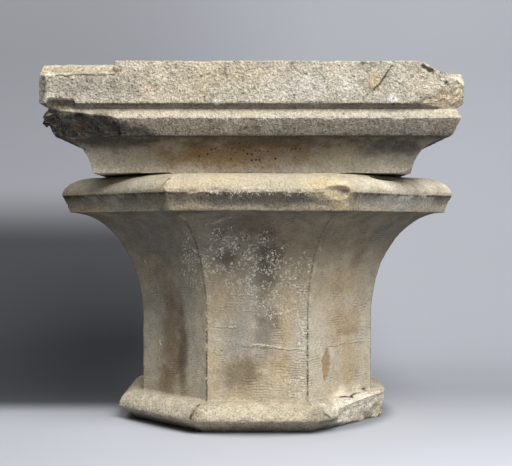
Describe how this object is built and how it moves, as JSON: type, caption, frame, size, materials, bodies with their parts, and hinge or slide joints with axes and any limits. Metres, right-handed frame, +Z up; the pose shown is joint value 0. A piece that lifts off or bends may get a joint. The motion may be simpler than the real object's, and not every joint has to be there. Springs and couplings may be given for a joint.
{
  "type": "octagonal column capital with impost block",
  "caption": "Octagonal stone capital with a neck moulding, hollow bell and moulded abacus, under a square moulded impost block that rests on it.",
  "frame": {"origin": "middle of the octagonal bed that the capital stands on", "axes": "+Z up the column's axis, -Y out of the front face, +X to the right of the front face"},
  "size_m": [0.381, 0.381, 0.3355],
  "materials": {
    "capital_limestone": "matte",
    "impost_limestone": "matte"
  },
  "bodies": {
    "root": {"octagonal_capital": "capital_limestone", "impost_block": "impost_limestone"}
  },
  "joints": []
}
